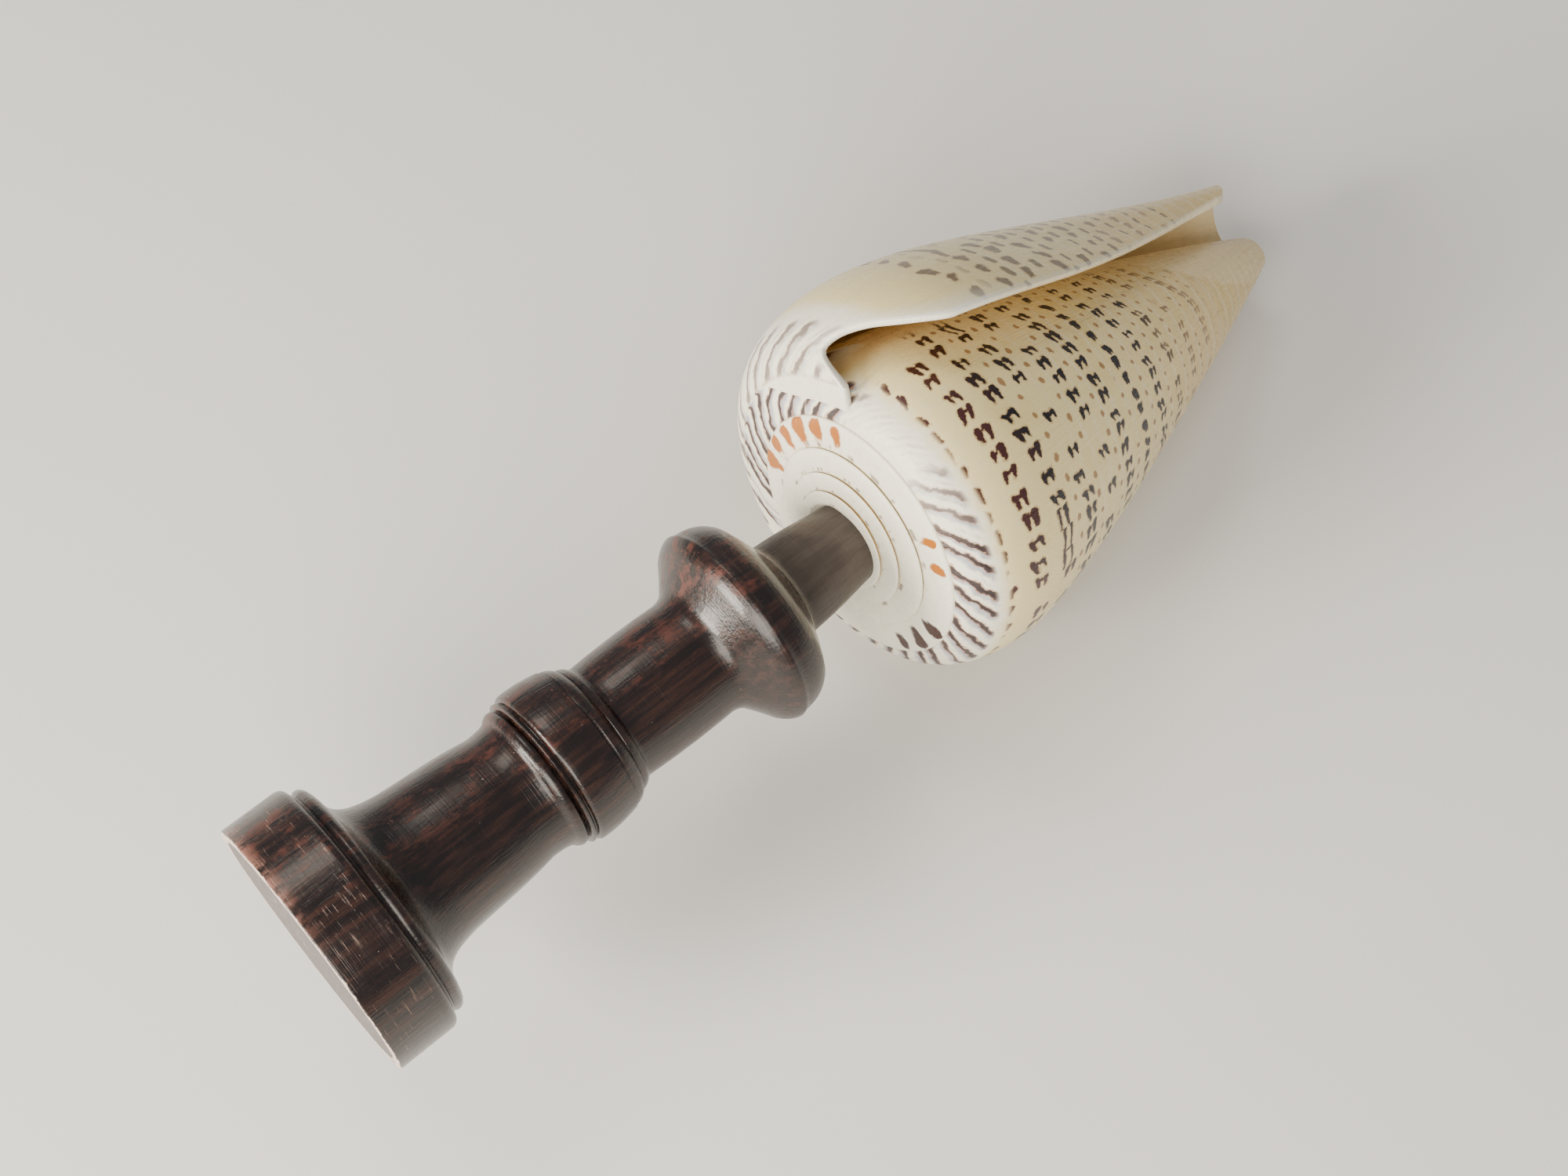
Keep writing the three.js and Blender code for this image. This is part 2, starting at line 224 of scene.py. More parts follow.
def between(stations, position):
    """Smooth value between stations (position, value), with the slopes of a Catmull-Rom curve."""
    last = len(stations) - 1
    if position <= stations[0][0]:
        return stations[0][1]
    if position >= stations[last][0]:
        return stations[last][1]
    k = 0
    while stations[k + 1][0] < position:
        k += 1

    def slope(i):
        before = stations[max(i - 1, 0)]
        after = stations[min(i + 1, last)]
        return (after[1] - before[1]) / (after[0] - before[0])

    x0, y0 = stations[k]
    x1, y1 = stations[k + 1]
    step = x1 - x0
    t = (position - x0) / step
    start = (1 + 2 * t) * (1 - t) ** 2 * y0 + t * (1 - t) ** 2 * step * slope(k)
    return start + t * t * (3 - 2 * t) * y1 + t * t * (t - 1) * step * slope(k + 1)


def ease(low, high, value):
    t = min(max((value - low) / (high - low), 0), 1)
    return t * t * (3 - 2 * t)


def bezier(controls, shares):
    """Points of a Bezier curve with any number of control points."""
    controls = np.array(controls, float)
    degree = len(controls) - 1
    shares = np.asarray(shares, float)[:, None]
    result = 0
    for k, control in enumerate(controls):
        result = result + math.comb(degree, k) * shares ** k * (1 - shares) ** (degree - k) * control
    return result


def stand_outline(foot_radius, collar_radius):
    """Outline of the stand as (along, radius) from the middle of the underside to the end of the peg."""
    points = [(0.0, 0.0)]

    def line(*stations):
        points.extend(stations)

    def curve(*controls, steps=8):
        shares = [(k + 1) / steps for k in range(steps)]
        points.extend(tuple(point) for point in bezier([points[-1], *controls], shares))

    line((0, 8), (0, 15), (0, 20.5), (0, foot_radius - 0.4))
    curve((0, foot_radius), (0.4, foot_radius), steps=4)
    line((3, foot_radius), (6, foot_radius), (9.3, foot_radius))
    curve((10.8, foot_radius), (11, 21.4), steps=8)
    line((11.2, 20.7), (11.5, 20.6))
    curve((12.6, 21.3), (13.4, 20.1), steps=7)
    curve((13.8, 19.3), (13.9, 18.3), steps=3)
    line((14, 17.9))
    curve((14.5, 14.2), (17.5, 13.5), (21.8, 12.9), steps=12)
    curve((27.5, 12.4), (31.5, 12.4), (37.7, 11.4), steps=12)
    curve((40.4, 11.4), (41.5, 11.9), steps=5)
    curve((42.2, 12.8), (43, 12.8), steps=6)
    curve((43.5, 12.8), (43.7, 12.2), steps=3)
    line((43.9, 12.1))
    curve((44, 13.3), (44.3, 13.4), steps=3)
    curve((44.8, 13.4), (44.9, 12.9), steps=3)
    line((45.1, 12.9))
    curve((45.2, 13.8), (46, 13.9), steps=4)
    curve((49, 14.1), (52.8, 13.3), steps=8)
    line((53, 12.9), (53.2, 12.9), (53.4, 13))
    curve((54.4, 12.8), (55.1, 12.1), steps=4)
    line((55.3, 11.7), (55.5, 11.8))
    curve((56.7, 11.5), (57, 10.9), steps=4)
    curve((57.3, 10.6), (58, 10.55), steps=3)
    curve((64, 10.9), (70, 10.9), (74.7, 10.7), steps=12)
    curve((76.2, 10.7), (77.4, 11.6), steps=5)
    curve((79.4, 13.9), (81.3, 16.6), steps=8)
    curve((82.4, 17.7), (83.3, collar_radius - 0.1), steps=5)
    curve((83.7, collar_radius + 0.1), (84.1, collar_radius - 0.1), steps=4)
    line((84.5, collar_radius - 0.3))
    curve((87.6, collar_radius - 0.3), (89.6, 15.9), steps=8)
    curve((91.6, 12.6), (92.8, 9.6), steps=6)
    curve((93.2, 8.7), (94.6, 8.5), steps=4)
    curve((101, 8.2), (104, 7.5), (108.4, 7), steps=8)
    line((112, 6.6), (116, 6.1), (120, 5.6), (120, 0))
    return points


def whorl_outline(back, shares, lip_radius):
    """The whorl in the half plane at an angle back from the lip, as (along, radius) for each share.

    Shares run -1 (skirt under the seam), 0 (seam), 1 (shoulder) and 2 (narrow end)."""
    size = lip_radius * WHORL_RATIO ** (-back / 360)
    seam = SEAM_SHARE * size
    seam_along = SPIRE_SLOPE * seam - SPIRE_DOME * seam * seam
    inner = ease(INNER_FROM, INNER_FULL, back)

    def mix(outer_value, key):
        return outer_value + (INNER_SHOULDER[key] - outer_value) * inner

    along = mix(SHOULDER_ALONG, "along")
    crest_radius = size * mix(1.0, "radius")
    crest = (seam_along + along * size, crest_radius)
    lift = mix(FACE_LIFT, "lift")
    rounding = mix(SHOULDER_ROUND, "round")
    face = [
        (seam_along, seam),
        (seam_along + lift * size, mix(FACE_REACH, "reach") * size),
        (seam_along + (along - rounding) * size, crest_radius),
        crest,
    ]
    far = min(max((back - LIP_SIDE_BACK) / (FAR_SIDE_BACK - LIP_SIDE_BACK), 0), 1)
    flank = {key: LIP_SIDE_FLANK[key] + (FAR_SIDE_FLANK[key] - LIP_SIDE_FLANK[key]) * far
             for key in LIP_SIDE_FLANK}
    end = (between(END_ALONG, back), between(END_RADIUS, back))
    side = [
        crest,
        (crest[0] + flank["shoulder"], crest[1]),
        (end[0] - flank["along"], end[1] + flank["rise"]),
        end,
    ]
    shares = np.asarray(shares, float)
    seam_point = np.array(face[0])
    under_seam = -shares[shares < 0][:, None]
    skirt = seam_point + (np.array(SKIRT_TARGET) - seam_point) * SKIRT_DEPTH * under_seam
    on_face = bezier(face, shares[(shares >= 0) & (shares <= 1)])
    on_side = bezier(side, shares[shares > 1] - 1)
    return np.vstack([skirt, on_face, on_side])


# Meshes

def deselect_all():
    if bpy.context.mode != "OBJECT":
        bpy.ops.object.mode_set(mode="OBJECT")
    bpy.ops.object.select_all(action="DESELECT")


def finish_piece(piece, name, node, angle):
    """Names a piece, smooths it, and puts it in place of its CAD node."""
    piece.name = name
    piece.data.name = name
    deselect_all()
    piece.select_set(True)
    bpy.context.view_layer.objects.active = piece
    bpy.ops.object.shade_smooth_by_angle(angle=math.radians(angle))
    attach(piece, "root")
    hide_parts(node)


def turn_outline(outline, sides):
    """Turns an outline about the X axis: one vertex is drawn along the outline, then spun round."""
    deselect_all()
    bpy.ops.mesh.primitive_plane_add(size=MM, location=(0, 0, 0))
    piece = bpy.context.active_object
    bpy.ops.object.mode_set(mode="EDIT")
    bpy.ops.mesh.select_all(action="SELECT")
    bpy.ops.mesh.merge(type="CENTER")
    here = Vector((outline[0][0], 0, outline[0][1])) * MM
    bpy.ops.transform.translate(value=here)
    for along, radius in outline[1:]:
        place = Vector((along, 0, radius)) * MM
        bpy.ops.mesh.extrude_region_move(TRANSFORM_OT_translate={"value": place - here})
        here = place
    bpy.ops.mesh.select_all(action="SELECT")
    bpy.ops.mesh.spin(steps=sides, angle=math.tau, center=(0, 0, 0), axis=(1, 0, 0))
    bpy.ops.mesh.select_all(action="SELECT")
    bpy.ops.mesh.remove_doubles(threshold=0.002 * MM)
    bpy.ops.mesh.normals_make_consistent(inside=False)
    bpy.ops.object.mode_set(mode="OBJECT")
    return piece


class Sheet:
    """A closed sheet of shell: an outer and an inner surface, joined round all four edges."""

    def __init__(self):
        self.points = []
        self.marks = {name: [] for name in ("back", "share", "reach", "inner", "lip", "girth")}
        self.faces = []

    def add(self, columns, shares, start_of, lip_radius, thickness_of):
        """Columns are nominal angles back; start_of gives each row its own first angle."""
        first = len(self.points)
        rows = len(shares)
        starts = np.array([start_of(share) for share in shares])
        end = columns[-1]
        for side in (0, 1):
            for nominal in columns:
                backs = starts + (end - starts) * (nominal - columns[0]) / (end - columns[0])
                outlines = np.array([self.outline_point(back, share, lip_radius)
                                     for back, share in zip(backs, shares)])
                ahead = np.array([self.outline_point(back, share + SHARE_STEP, lip_radius)
                                  for back, share in zip(backs, shares)])
                tangent = ahead - outlines
                tangent /= np.linalg.norm(tangent, axis=1)[:, None] + TINY
                gap = (nominal - columns[0]) * ONE_DEGREE * GIRTH_AT_LIP
                outer_offset, inner_offset = thickness_of(gap)
                offset = inner_offset if side else outer_offset
                moved = outlines + offset * np.stack([tangent[:, 1], -tangent[:, 0]], axis=1)
                moved[:, 1] = np.maximum(moved[:, 1], LEAST_RADIUS)
                steps = np.linalg.norm(np.diff(outlines, axis=0), axis=1)
                reach = np.concatenate([[0], np.cumsum(steps)])
                reach -= np.interp(1, shares, reach)
                turns = np.radians(LIP_TURN - backs)
                for k in range(rows):
                    along, radius = moved[k]
                    self.points.append((along, radius * math.cos(turns[k]), radius * math.sin(turns[k])))
                    self.marks["back"].append(backs[k])
                    self.marks["share"].append(shares[k])
                    self.marks["reach"].append(reach[k])
                    self.marks["inner"].append(float(side))
                    self.marks["lip"].append(gap)
                    self.marks["girth"].append(outlines[k][1])
        count = len(columns)
        layer = count * rows

        def at(side, column, row):
            return first + side * layer + column * rows + row

        for i in range(count - 1):
            for j in range(rows - 1):
                self.faces.append((at(0, i, j), at(0, i, j + 1), at(0, i + 1, j + 1), at(0, i + 1, j)))
                self.faces.append((at(1, i, j), at(1, i + 1, j), at(1, i + 1, j + 1), at(1, i, j + 1)))
            self.faces.append((at(1, i, 0), at(0, i, 0), at(0, i + 1, 0), at(1, i + 1, 0)))
            last = rows - 1
            self.faces.append((at(1, i, last), at(1, i + 1, last), at(0, i + 1, last), at(0, i, last)))
        for j in range(rows - 1):
            self.faces.append((at(1, 0, j), at(1, 0, j + 1), at(0, 0, j + 1), at(0, 0, j)))
            last = count - 1
            self.faces.append((at(1, last, j), at(0, last, j), at(0, last, j + 1), at(1, last, j + 1)))

    @staticmethod
    def outline_point(back, share, lip_radius):
        return whorl_outline(back, [share], lip_radius)[0]

    def build(self, name, matrix):
        mesh = bpy.data.meshes.new(name)
        mesh.from_pydata([Vector(point) * MM for point in self.points], [], self.faces)
        for mark, values in self.marks.items():
            attribute = mesh.attributes.new(mark, "FLOAT", "POINT")
            attribute.data.foreach_set("value", np.array(values, np.float32))
        mesh.transform(matrix)
        mesh.update()
        piece = bpy.data.objects.new(name, mesh)
        bpy.context.scene.collection.objects.link(piece)
        return piece


# Materials

class Signal:
    """A number inside a material, so that a pattern can be written as a formula."""

    def __init__(self, tree, socket):
        self.tree = tree
        self.socket = socket

    def math(self, operation, *others):
        node = self.tree.nodes.new("ShaderNodeMath")
        node.operation = operation
        for socket, value in zip(node.inputs, (self, *others)):
            plug(self.tree, value, socket)
        return Signal(self.tree, node.outputs[0])

    def __add__(self, other):
        return self.math("ADD", other)

    def __radd__(self, other):
        return self.math("ADD", other)

    def __sub__(self, other):
        return self.math("SUBTRACT", other)

    def __rsub__(self, other):
        return (self * -1) + other

    def __mul__(self, other):
        return self.math("MULTIPLY", other)

    def __rmul__(self, other):
        return self.math("MULTIPLY", other)

    def __truediv__(self, other):
        return self.math("DIVIDE", other)

    def __abs__(self):
        return self.math("ABSOLUTE")

    def floor(self):
        return self.math("FLOOR")

    def least(self, other):
        return self.math("MINIMUM", other)

    def most(self, other):
        return self.math("MAXIMUM", other)

    def sine(self):
        return self.math("SINE")

    def over(self, other):
        """1 where this is greater than the other, else 0."""
        return self.math("GREATER_THAN", other)

    def rise(self, low, high):
        """0 below low and 1 above high, smooth between; low may be the greater."""
        node = self.tree.nodes.new("ShaderNodeMapRange")
        node.interpolation_type = "SMOOTHSTEP"
        plug(self.tree, self, node.inputs["Value"])
        low, high, flip = (low, high, False) if high > low else (high, low, True)
        node.inputs["From Min"].default_value = low
        node.inputs["From Max"].default_value = high
        node.inputs["To Min"].default_value = 1 if flip else 0
        node.inputs["To Max"].default_value = 0 if flip else 1
        return Signal(self.tree, node.outputs[0])

    def within(self, low, high, soft):
        """1 between low and high, fading over a soft edge."""
        return self.rise(low - soft, low + soft) * self.rise(high + soft, high - soft)


def plug(tree, value, socket):
    if isinstance(value, Signal):
        tree.links.new(value.socket, socket)
    else:
        socket.default_value = value


def length(a, b):
    return (a * a + b * b).math("SQRT")


class Recipe:
    """A material with one Principled shader, whose colour, roughness and bump are built up in order."""

    def __init__(self, name):
        self.material = bpy.data.materials.new(name)
        self.material.use_nodes = True
        self.tree = self.material.node_tree
        self.tree.nodes.clear()
        self.shader = self.tree.nodes.new("ShaderNodeBsdfPrincipled")
        output = self.tree.nodes.new("ShaderNodeOutputMaterial")
        self.tree.links.new(self.shader.outputs[0], output.inputs["Surface"])

    def mark(self, name):
        node = self.tree.nodes.new("ShaderNodeAttribute")
        node.attribute_name = name
        return Signal(self.tree, node.outputs["Fac"])

    def vector(self, x, y, z):
        node = self.tree.nodes.new("ShaderNodeCombineXYZ")
        for socket, value in zip(node.inputs, (x, y, z)):
            plug(self.tree, value, socket)
        return Signal(self.tree, node.outputs[0])

    def noise(self, vector, scale, detail=3.0, roughness=0.5):
        node = self.tree.nodes.new("ShaderNodeTexNoise")
        plug(self.tree, vector, node.inputs["Vector"])
        node.inputs["Scale"].default_value = scale
        node.inputs["Detail"].default_value = detail
        node.inputs["Roughness"].default_value = roughness
        return Signal(self.tree, node.outputs["Fac"])

    def dice(self, x, y, seed):
        """A steady random number from 0 to 1 for each whole x and y."""
        node = self.tree.nodes.new("ShaderNodeTexWhiteNoise")
        plug(self.tree, self.vector(x, y, seed), node.inputs["Vector"])
        return Signal(self.tree, node.outputs["Value"])

    def blend(self, first, second, factor):
        node = self.tree.nodes.new("ShaderNodeMix")
        node.data_type = "RGBA"
        plug(self.tree, factor, node.inputs["Factor"])
        plug(self.tree, solid(first), node.inputs[6])
        plug(self.tree, solid(second), node.inputs[7])
        return Signal(self.tree, node.outputs[2])

    def object_frame(self, matrix):
        """Coordinates in millimetres in a piece's own frame, as three signals."""
        place = self.tree.nodes.new("ShaderNodeTexCoord")
        mapping = self.tree.nodes.new("ShaderNodeMapping")
        mapping.vector_type = "TEXTURE"
        self.tree.links.new(place.outputs["Object"], mapping.inputs["Vector"])
        mapping.inputs["Location"].default_value = matrix.translation
        mapping.inputs["Rotation"].default_value = matrix.to_euler()
        mapping.inputs["Scale"].default_value = (MM, MM, MM)
        split = self.tree.nodes.new("ShaderNodeSeparateXYZ")
        self.tree.links.new(mapping.outputs[0], split.inputs[0])
        return [Signal(self.tree, socket) for socket in split.outputs]

    def bump(self, height, distance):
        """Height in millimetres, scaled by distance."""
        node = self.tree.nodes.new("ShaderNodeBump")
        node.inputs["Strength"].default_value = 1
        node.inputs["Distance"].default_value = distance * MM
        plug(self.tree, height, node.inputs["Height"])
        self.tree.links.new(node.outputs[0], self.shader.inputs["Normal"])

    def finish(self, colour, roughness, **constants):
        plug(self.tree, colour, self.shader.inputs["Base Color"])
        plug(self.tree, roughness, self.shader.inputs["Roughness"])
        for socket, value in constants.items():
            self.shader.inputs[socket.replace("_", " ").title()].default_value = value
        return self.material


def solid(colour):
    """A colour of three numbers gets its fourth."""
    if isinstance(colour, Signal):
        return colour
    return (*colour[:3], 1)


def wood_material(settings):
    """Dark polished hardwood with grain along the stand, red-brown patches of wear that are painted only on
    the lit side, so partly painted light, and fine turning marks.

    The underside of the foot and the peg are bare."""
    recipe = Recipe("dark turned hardwood")
    x, y, z = recipe.object_frame(stand_matrix())
    radius = length(y, z)
    grain = recipe.noise(recipe.vector(x * 0.06, y, z), 0.7, 6, 0.6)
    pores = recipe.noise(recipe.vector(x * 0.22, y * 2.4, z * 2.4), 0.9, 4, 0.6)
    patches = recipe.noise(recipe.vector(x * 0.5, y * 0.9, z * 0.9), 0.3, 8, 0.75)
    # The lit side faces the light. The red-brown wear patches, the rubbing near the foot and the nick marks
    # are kept to it, so they are wear and painted light together.
    lit_side = (y / radius).rise(-0.2, 0.6)
    worn_and_lit = patches.rise(0.5, 0.6) * lit_side
    colour = recipe.blend(settings.wood, settings.wood_grain, grain.rise(0.4, 0.68))
    colour = recipe.blend(colour, settings.wood_worn_and_lit, worn_and_lit * grain.rise(0.3, 0.6) * 0.65)
    colour = recipe.blend(colour, PORE_COLOUR, pores.rise(0.56, 0.68) * 0.75)

    scratches = recipe.noise(recipe.vector(x * 9, y * 0.35, z * 0.35), 0.5, 3, 0.5)
    scratch = scratches.rise(0.62, 0.7) * x.rise(*SCRATCHES_END) * patches.rise(0.42, 0.6)
    colour = recipe.blend(colour, SCRATCH_COLOUR, scratch * 0.75)
    # Red-brown rubbing near the bottom of the foot, on the lit side only: wear and painted light.
    rubbed_and_lit = (x + patches * 4).rise(*RUBBED_AND_LIT_EDGE) * lit_side * patches.rise(0.4, 0.6)
    colour = recipe.blend(colour, RUBBED_AND_LIT_COLOUR, rubbed_and_lit * 0.7)
    # Red-brown nick marks, on the lit side only: wear and painted light.
    nicks_and_lit = recipe.noise(recipe.vector(x * 1.2, y, z), 0.8, 5, 0.7).rise(0.66, 0.7) * lit_side
    colour = recipe.blend(colour, NICK_AND_LIT_COLOUR, nicks_and_lit * 0.6)
    specks = recipe.noise(recipe.vector(x, y, z), 1.6, 2, 0.4).rise(0.79, 0.81)
    colour = recipe.blend(colour, SPECK_COLOUR, specks * 0.6)

    chips = recipe.noise(recipe.vector(x * 0.3, y, z), 0.5, 5, 0.65)
    bare = (x + chips * 1.1).rise(*UNDERSIDE_EDGE)
    rim = (radius + chips * 1.2).rise(*RIM_START)
    underside = recipe.blend(settings.underside, settings.bare_wood, rim)
    colour = recipe.blend(colour, underside, bare)
    ring_marks = recipe.noise(recipe.vector(x * 3.2, y * 0.04, z * 0.04), 1, 3, 0.6)
    peg = x.rise(*PEG_START)
    peg_colour = recipe.blend(settings.peg, PEG_RING_COLOUR, ring_marks.rise(0.5, 0.7) * 0.35)
    peg_colour = recipe.blend(peg_colour, PEG_GRAIN_COLOUR, grain.rise(0.42, 0.62) * 0.6)
    peg_colour = recipe.blend(peg_colour, PEG_SHADOW_COLOUR, x.rise(*PEG_SHADOW) * 0.35)
    colour = recipe.blend(colour, peg_colour, peg)

    polish = grain * 0.12 + patches * 0.16 + 0.12
    matte = bare.most(peg)
    roughness = polish + matte * 0.3 + worn_and_lit * 0.12
    turning = recipe.noise(recipe.vector(x * 5, y * 0.03, z * 0.03), 1, 2, 0.5)
    recipe.bump(turning * 0.35 + pores * -0.5 + grain * 0.3 + scratch * -0.6 + bare * chips * 1.5, 0.16)
    return recipe.finish(colour, roughness, coat_weight=0.25, coat_roughness=0.12)


def shell_material(settings):
    """Glossy spotted shell. Rows of paired dark marks run round the body, with small dots between the rows;
    the spire has curved dark streaks on the last whorl, and orange and brown spots further in."""
    recipe = Recipe("spotted cone shell")
    back = recipe.mark("back")
    share = recipe.mark("share")
    reach = recipe.mark("reach")
    inner = recipe.mark("inner")
    lip = recipe.mark("lip")
    girth = recipe.mark("girth")
    x, y, z = recipe.object_frame(shell_matrix())
    arc = girth * ONE_DEGREE
    place = recipe.vector(x, y, z)
    surface = recipe.vector(back * 0.5, reach, 0.0)
    broad = recipe.noise(place, 0.09, 3, 0.5)
    mottle = recipe.noise(place, 0.5, 4, 0.6)
    wobble = recipe.noise(surface, 0.35, 3, 0.55) - 0.5
    wobble_too = recipe.noise(recipe.vector(reach, back * 0.5, 7.0), 0.35, 3, 0.55) - 0.5

    # Ground: white on the spire, ivory on the body, warmer to the tip.
    spire = back.rise(*WHITE_SPIRE) * share.rise(1.02, 0.98)
    colour = recipe.blend(settings.ivory, settings.tip, (reach + wobble * 14).rise(18, 80))
    colour = recipe.blend(colour, settings.yellow, broad.rise(0.5, 0.72) * 0.45 * reach.rise(-8, 10))
    growth = recipe.noise(recipe.vector(back * 1.1, reach * 0.03, 3.0), 0.6, 5, 0.65)
    colour = recipe.blend(colour, GROWTH_COLOUR, growth.rise(0.55, 0.78) * 0.2)
    stripes = (reach * (math.tau / BAND_STEP) + wobble * 3).sine()
    colour = recipe.blend(colour, BAND_COLOUR, stripes.rise(0.6, 1) * 0.35 * reach.rise(8, 20))
    colour = recipe.blend(colour, settings.white, (reach + wobble * 4).rise(*WHITE_FACE).most(spire))
    colour = recipe.blend(colour, DULL_COLOUR, mottle.rise(0.52, 0.7) * reach.rise(2, -4) * 0.35)

    # Rows of marks, each row one step from the last; q runs back along a row, p across it.
    bend = reach * back.rise(300, 356) * 0.13
    row_place = (reach + bend + wobble * 0.8) / ROW_STEP + ROW_SHIFT
    row = (row_place + 0.5).floor()
    scale = (girth / 31).least(1.1).most(0.5)
    cell_place = back / MARK_PITCH + recipe.dice(row, 0.0, 5.0) * 0.18 + wobble_too * 0.3
    cell = cell_place.floor()
    chance = recipe.dice(cell, row, 1.0)
    second = recipe.dice(cell, row, 2.0)
    q = (cell_place - cell - 0.5) * arc * MARK_PITCH / scale + (chance - 0.5) * 1.2
    p = (row_place - row) * ROW_STEP / scale + (second - 0.5) * 1.5 + wobble_too * 1.2
    p = p + q * (chance - 0.5) * 0.8
    side = recipe.dice(cell, row + p.over(0) * 0.25, 3.0)
    run = recipe.dice((cell / 3).floor(), row, 8.0).rise(0.93, 0.95) * reach.within(3, 46, 2)
    young = back.rise(*YOUNG_PART)
    single = row.rise(-0.1, -0.9).most((row - SINGLE_ROW).within(-0.1, 0.1, 0.2)).most(young)
    half_gap = 0.98 - single * 0.8
    half_long = side * 0.5 + 0.55 + run * 1.6
    taper = (q / half_long).least(1).most(-1) * 0.16 + 0.44
    legs = length((abs(q) - half_long).most(0), abs(p) - half_gap) - taper * (side * 0.5 + 1.0 - run * 0.35)
    arch = length(q - half_long * 0.9, (abs(p) - half_gap).most(0)) - (second * 0.45 + 0.08)
    ragged = recipe.noise(recipe.vector(back * 0.6, reach, 4.0), 1.3, 3, 0.6) - 0.5
    marks = legs.least(arch) + ragged * 0.9
    fade_in = (reach - young * 11).rise(*ROWS_START) * (1 - back.rise(*NO_SHOULDER_MARKS) * reach.rise(3, 1))
    fade_out = reach.rise(*ROWS_END)
    kept = second.rise(0.06, 0.07) * (1 - reach.rise(44, 58) * chance.over(0.68))
    present = fade_in * fade_out * kept
    dark = reach.rise(66, 44).most(0.6) * (1 - young * 0.3)
    core = marks.rise(0.14, -0.14) * present
    halo = marks.rise(0.5, -0.05) * present
    spot = recipe.blend(settings.spot_warm, settings.spot, (reach + chance * 8).rise(2, 13))
    spot = recipe.blend(spot, settings.spot_tip, reach.rise(42, 58))

    # Small dots half way between the rows; on the youngest part they are as long as the marks.
    dot_place = row_place + 0.5
    dot_row = (dot_place + 0.5).floor()
    dot_cell_place = back / MARK_PITCH + 0.5 + recipe.dice(dot_row, 0.0, 11.0) * 0.2 + wobble_too * 0.3
    dot_cell = dot_cell_place.floor()
    dot_chance = recipe.dice(dot_cell, dot_row, 12.0)
    dot_p = (dot_place - dot_row) * ROW_STEP / scale + (dot_chance - 0.5) * 1.1
    dot_q = (dot_cell_place - dot_cell - 0.5) * arc * MARK_PITCH / scale
    dot_long = (abs(dot_q) - young * 0.7).most(0)
    dots = length(dot_long * 0.8, dot_p) - 0.42 - dot_chance * 0.22 + ragged * 0.7
    dot = dots.rise(0.2, -0.12) * (reach - young * 4).within(6, 66, 3) * dot_chance.rise(0.08, 0.1)
    dot_colour = recipe.blend(settings.dot, settings.spot_tip, young)

    # The glaze beside the mouth covers the marks.
    glaze = (back + wobble * 10 + (reach - 58).most(0) * 3.4).rise(*GLAZE_START)
    glaze = glaze * reach.rise(*GLAZE_EDGE) * (1 - spire)
    painted = (1 - glaze) * (1 - inner) * back.rise(*PAINT_END)
    colour = recipe.blend(colour, settings.spot_edge, halo * painted * 0.5)
    colour = recipe.blend(colour, dot_colour, dot * painted * 0.8)
    colour = recipe.blend(colour, spot, core * painted * dark)

    # Last whorl of the spire and the start of the one before it: curved streaks that begin at the seam.
    on_last = share.within(0.0, 0.47, 0.04) * back.rise(*STREAKS_END)
    on_older = share.within(0.0, 0.92, 0.04) * back.within(*OLDER_STREAKS, 5)
    on_turn = share.within(0.0, 0.5, 0.04) * back.within(*TURN_STREAKS, 3)
    on_face = (1 - inner) * on_last.most(on_older).most(on_turn)
    swing = share.rise(0.04, 0.46) * STREAK_SWING + (share * 13).sine() * 1.6
    streak_place = (back + swing + wobble * 7) / STREAK_PITCH
    streak_cell = streak_place.floor()
    streak_q = (streak_place - streak_cell - 0.5) * arc * STREAK_PITCH
    streak_chance = recipe.dice(streak_cell, 0.0, 21.0)
    streak_wide = streak_chance * 0.34 + 0.42 + (share * 13 + 2).sine() * 0.14
    streak_mid = streak_q + (streak_chance - 0.5) * 1.2
    streak = abs(streak_mid) - streak_wide + ragged * 0.5
    plain_part = 1 - back.within(*PLAIN_PART, 5)
    strength = 0.55 + back.rise(60, 150) * 0.45
    strength = strength * (0.4 + back.rise(318, 275).most(back.rise(345, 352)) * 0.6)
    streak_here = on_face * plain_part * strength * streak_chance.rise(0.03, 0.06)
    shade = (streak_mid + 1.3).rise(-1.2, 0.2) * (streak_mid - 0.2).rise(0.4, 0) * streak_here
    colour = recipe.blend(colour, settings.streak_shade, shade * 0.8)
    colour = recipe.blend(colour, settings.spot_edge, (streak - 0.1).rise(0.45, 0) * streak_here * 0.75)
    colour = recipe.blend(colour, settings.streak, streak.rise(0.12, -0.12) * streak_here * 0.95)

